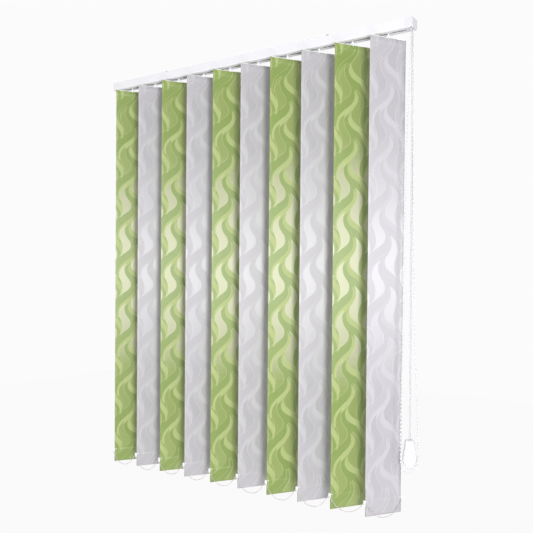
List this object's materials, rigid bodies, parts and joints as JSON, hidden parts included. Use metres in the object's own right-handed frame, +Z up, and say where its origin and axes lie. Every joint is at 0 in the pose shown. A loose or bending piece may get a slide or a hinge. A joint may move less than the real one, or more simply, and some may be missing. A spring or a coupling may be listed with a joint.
{
  "type": "vertical blind",
  "caption": "Ceiling-fixed vertical blind: slim headrail, tilting and traversing fabric vanes, bead chain, draw cord with its weight and bottom link chain.",
  "frame": {"origin": "midway between the two ceiling screw holes, on the clips' upper face", "axes": "+X along the headrail to the control end, -Y to the room, +Z up"},
  "size_m": [1.2741, 0.1223, 1.5188],
  "materials": {
    "rail_paint": "white powder coat on extruded aluminium",
    "cap_plastic": "moulded white ABS",
    "clip_steel": "zinc-plated spring steel",
    "rod_aluminium": "drawn aluminium",
    "gear_plastic": "moulded white acetal",
    "carrier_plastic": "moulded white acetal",
    "stem_plastic": "moulded white acetal",
    "fitting_plastic": "moulded white plastic",
    "chain_plastic": "white plastic beads on a cord",
    "cord_polyester": "braided white polyester cord",
    "weight_plastic": "moulded white plastic",
    "green_fabric": "leaf-green polyester jacquard with a satin scroll figure",
    "grey_fabric": "light grey polyester jacquard with a satin scroll figure"
  },
  "bodies": {
    "rail": {"headrail": "rail_paint", "control_end_cap": "cap_plastic", "far_end_cap": "cap_plastic", "mounting_clips": "clip_steel", "draw_cord": "cord_polyester", "cord_weight": "weight_plastic", "bead_chain": "chain_plastic", "carrier_10": "carrier_plastic"},
    "shaft": {"tilt_rod": "rod_aluminium", "chain_sprocket": "gear_plastic"},
    "truck_01": {"carrier_01": "carrier_plastic"},
    "truck_02": {"carrier_02": "carrier_plastic"},
    "truck_03": {"carrier_03": "carrier_plastic"},
    "truck_04": {"carrier_04": "carrier_plastic"},
    "truck_05": {"carrier_05": "carrier_plastic"},
    "truck_06": {"carrier_06": "carrier_plastic"},
    "truck_07": {"carrier_07": "carrier_plastic"},
    "truck_08": {"carrier_08": "carrier_plastic"},
    "truck_09": {"carrier_09": "carrier_plastic"},
    "worm_body_01": {"worm_01": "gear_plastic"},
    "worm_body_02": {"worm_02": "gear_plastic"},
    "worm_body_03": {"worm_03": "gear_plastic"},
    "worm_body_04": {"worm_04": "gear_plastic"},
    "worm_body_05": {"worm_05": "gear_plastic"},
    "worm_body_06": {"worm_06": "gear_plastic"},
    "worm_body_07": {"worm_07": "gear_plastic"},
    "worm_body_08": {"worm_08": "gear_plastic"},
    "worm_body_09": {"worm_09": "gear_plastic"},
    "worm_body_10": {"worm_10": "gear_plastic"},
    "slat_01": {"stem_01": "stem_plastic", "vane_01": "green_fabric", "vane_fittings_01": "fitting_plastic"},
    "slat_02": {"stem_02": "stem_plastic", "vane_02": "grey_fabric", "vane_fittings_02": "fitting_plastic"},
    "slat_03": {"stem_03": "stem_plastic", "vane_03": "green_fabric", "vane_fittings_03": "fitting_plastic"},
    "slat_04": {"stem_04": "stem_plastic", "vane_04": "grey_fabric", "vane_fittings_04": "fitting_plastic"},
    "slat_05": {"stem_05": "stem_plastic", "vane_05": "green_fabric", "vane_fittings_05": "fitting_plastic"},
    "slat_06": {"stem_06": "stem_plastic", "vane_06": "grey_fabric", "vane_fittings_06": "fitting_plastic"},
    "slat_07": {"stem_07": "stem_plastic", "vane_07": "green_fabric", "vane_fittings_07": "fitting_plastic"},
    "slat_08": {"stem_08": "stem_plastic", "vane_08": "grey_fabric", "vane_fittings_08": "fitting_plastic"},
    "slat_09": {"stem_09": "stem_plastic", "vane_09": "green_fabric", "vane_fittings_09": "fitting_plastic"},
    "slat_10": {"stem_10": "stem_plastic", "vane_10": "grey_fabric", "vane_fittings_10": "fitting_plastic"},
    "edge_chain": {"bottom_chain": "chain_plastic"}
  },
  "joints": [
    {"name": "tilt_10", "type": "hinge", "parent": "rail", "child": "slat_10", "pos_m": [0.5415, 0, -0.0435], "axis": [0, 0, 1], "range_deg": [-40.3, 109.7]},
    {"name": "traverse_01", "type": "slide", "parent": "rail", "child": "truck_01", "axis": [1, 0, 0], "range_m": [0, 0.864], "deforming": ["bottom_chain"]},
    {"name": "traverse_02", "type": "slide", "parent": "rail", "child": "truck_02", "axis": [1, 0, 0], "range_m": [0, 0.768]},
    {"name": "traverse_03", "type": "slide", "parent": "rail", "child": "truck_03", "axis": [1, 0, 0], "range_m": [0, 0.672]},
    {"name": "traverse_04", "type": "slide", "parent": "rail", "child": "truck_04", "axis": [1, 0, 0], "range_m": [0, 0.576]},
    {"name": "traverse_05", "type": "slide", "parent": "rail", "child": "truck_05", "axis": [1, 0, 0], "range_m": [0, 0.48]},
    {"name": "traverse_06", "type": "slide", "parent": "rail", "child": "truck_06", "axis": [1, 0, 0], "range_m": [0, 0.384]},
    {"name": "traverse_07", "type": "slide", "parent": "rail", "child": "truck_07", "axis": [1, 0, 0], "range_m": [0, 0.288]},
    {"name": "traverse_08", "type": "slide", "parent": "rail", "child": "truck_08", "axis": [1, 0, 0], "range_m": [0, 0.192]},
    {"name": "traverse_09", "type": "slide", "parent": "rail", "child": "truck_09", "axis": [1, 0, 0], "range_m": [0, 0.096]},
    {"name": "tilt_01", "type": "hinge", "parent": "truck_01", "child": "slat_01", "pos_m": [-0.5385, 0, -0.0435], "axis": [0, 0, 1], "range_deg": [-40.3, 109.7]},
    {"name": "tilt_02", "type": "hinge", "parent": "truck_02", "child": "slat_02", "pos_m": [-0.4185, 0, -0.0435], "axis": [0, 0, 1], "range_deg": [-40.3, 109.7]},
    {"name": "tilt_03", "type": "hinge", "parent": "truck_03", "child": "slat_03", "pos_m": [-0.2985, 0, -0.0435], "axis": [0, 0, 1], "range_deg": [-40.3, 109.7]},
    {"name": "tilt_04", "type": "hinge", "parent": "truck_04", "child": "slat_04", "pos_m": [-0.1785, 0, -0.0435], "axis": [0, 0, 1], "range_deg": [-40.3, 109.7]},
    {"name": "tilt_05", "type": "hinge", "parent": "truck_05", "child": "slat_05", "pos_m": [-0.0585, 0, -0.0435], "axis": [0, 0, 1], "range_deg": [-40.3, 109.7]},
    {"name": "tilt_06", "type": "hinge", "parent": "truck_06", "child": "slat_06", "pos_m": [0.0615, 0, -0.0435], "axis": [0, 0, 1], "range_deg": [-40.3, 109.7]},
    {"name": "tilt_07", "type": "hinge", "parent": "truck_07", "child": "slat_07", "pos_m": [0.1815, 0, -0.0435], "axis": [0, 0, 1], "range_deg": [-40.3, 109.7]},
    {"name": "tilt_08", "type": "hinge", "parent": "truck_08", "child": "slat_08", "pos_m": [0.3015, 0, -0.0435], "axis": [0, 0, 1], "range_deg": [-40.3, 109.7]},
    {"name": "tilt_09", "type": "hinge", "parent": "truck_09", "child": "slat_09", "pos_m": [0.4215, 0, -0.0435], "axis": [0, 0, 1], "range_deg": [-40.3, 109.7]},
    {"name": "worm_turn_01", "type": "hinge", "parent": "truck_01", "child": "worm_body_01", "pos_m": [-0.5385, -0.0079, -0.0195], "axis": [1, 0, 0], "range_deg": [-483.6, 1316.4]},
    {"name": "worm_turn_02", "type": "hinge", "parent": "truck_02", "child": "worm_body_02", "pos_m": [-0.4185, -0.0079, -0.0195], "axis": [1, 0, 0], "range_deg": [-483.6, 1316.4]},
    {"name": "worm_turn_03", "type": "hinge", "parent": "truck_03", "child": "worm_body_03", "pos_m": [-0.2985, -0.0079, -0.0195], "axis": [1, 0, 0], "range_deg": [-483.6, 1316.4]},
    {"name": "worm_turn_04", "type": "hinge", "parent": "truck_04", "child": "worm_body_04", "pos_m": [-0.1785, -0.0079, -0.0195], "axis": [1, 0, 0], "range_deg": [-483.6, 1316.4]},
    {"name": "worm_turn_05", "type": "hinge", "parent": "truck_05", "child": "worm_body_05", "pos_m": [-0.0585, -0.0079, -0.0195], "axis": [1, 0, 0], "range_deg": [-483.6, 1316.4]},
    {"name": "worm_turn_06", "type": "hinge", "parent": "truck_06", "child": "worm_body_06", "pos_m": [0.0615, -0.0079, -0.0195], "axis": [1, 0, 0], "range_deg": [-483.6, 1316.4]},
    {"name": "worm_turn_07", "type": "hinge", "parent": "truck_07", "child": "worm_body_07", "pos_m": [0.1815, -0.0079, -0.0195], "axis": [1, 0, 0], "range_deg": [-483.6, 1316.4]},
    {"name": "worm_turn_08", "type": "hinge", "parent": "truck_08", "child": "worm_body_08", "pos_m": [0.3015, -0.0079, -0.0195], "axis": [1, 0, 0], "range_deg": [-483.6, 1316.4]},
    {"name": "worm_turn_09", "type": "hinge", "parent": "truck_09", "child": "worm_body_09", "pos_m": [0.4215, -0.0079, -0.0195], "axis": [1, 0, 0], "range_deg": [-483.6, 1316.4]},
    {"name": "worm_turn_10", "type": "hinge", "parent": "rail", "child": "worm_body_10", "pos_m": [0.5415, -0.0079, -0.0195], "axis": [1, 0, 0], "range_deg": [-483.6, 1316.4]},
    {"name": "shaft_turn", "type": "hinge", "parent": "rail", "child": "shaft", "pos_m": [0, -0.0079, -0.0195], "axis": [1, 0, 0], "range_deg": [-483.6, 1316.4]},
    {"name": "chain_swing", "type": "hinge", "parent": "slat_10", "child": "edge_chain", "pos_m": [0.50347, -0.05492, -1.4695], "axis": [0, 0, 1], "range_deg": [-109.7, 40.3]}
  ],
  "couplings": [
    {"joint": "traverse_02", "follows": "traverse_01", "ratio": 0.88889},
    {"joint": "traverse_03", "follows": "traverse_01", "ratio": 0.77778},
    {"joint": "traverse_04", "follows": "traverse_01", "ratio": 0.66667},
    {"joint": "traverse_05", "follows": "traverse_01", "ratio": 0.55556},
    {"joint": "traverse_06", "follows": "traverse_01", "ratio": 0.44444},
    {"joint": "traverse_07", "follows": "traverse_01", "ratio": 0.33333},
    {"joint": "traverse_08", "follows": "traverse_01", "ratio": 0.22222},
    {"joint": "traverse_09", "follows": "traverse_01", "ratio": 0.11111},
    {"joint": "tilt_01", "follows": "tilt_10", "ratio": 1},
    {"joint": "tilt_02", "follows": "tilt_10", "ratio": 1},
    {"joint": "tilt_03", "follows": "tilt_10", "ratio": 1},
    {"joint": "tilt_04", "follows": "tilt_10", "ratio": 1},
    {"joint": "tilt_05", "follows": "tilt_10", "ratio": 1},
    {"joint": "tilt_06", "follows": "tilt_10", "ratio": 1},
    {"joint": "tilt_07", "follows": "tilt_10", "ratio": 1},
    {"joint": "tilt_08", "follows": "tilt_10", "ratio": 1},
    {"joint": "tilt_09", "follows": "tilt_10", "ratio": 1},
    {"joint": "worm_turn_01", "follows": "tilt_10", "ratio": 12},
    {"joint": "worm_turn_02", "follows": "tilt_10", "ratio": 12},
    {"joint": "worm_turn_03", "follows": "tilt_10", "ratio": 12},
    {"joint": "worm_turn_04", "follows": "tilt_10", "ratio": 12},
    {"joint": "worm_turn_05", "follows": "tilt_10", "ratio": 12},
    {"joint": "worm_turn_06", "follows": "tilt_10", "ratio": 12},
    {"joint": "worm_turn_07", "follows": "tilt_10", "ratio": 12},
    {"joint": "worm_turn_08", "follows": "tilt_10", "ratio": 12},
    {"joint": "worm_turn_09", "follows": "tilt_10", "ratio": 12},
    {"joint": "worm_turn_10", "follows": "tilt_10", "ratio": 12},
    {"joint": "shaft_turn", "follows": "tilt_10", "ratio": 12},
    {"joint": "chain_swing", "follows": "tilt_10", "ratio": -1}
  ]
}
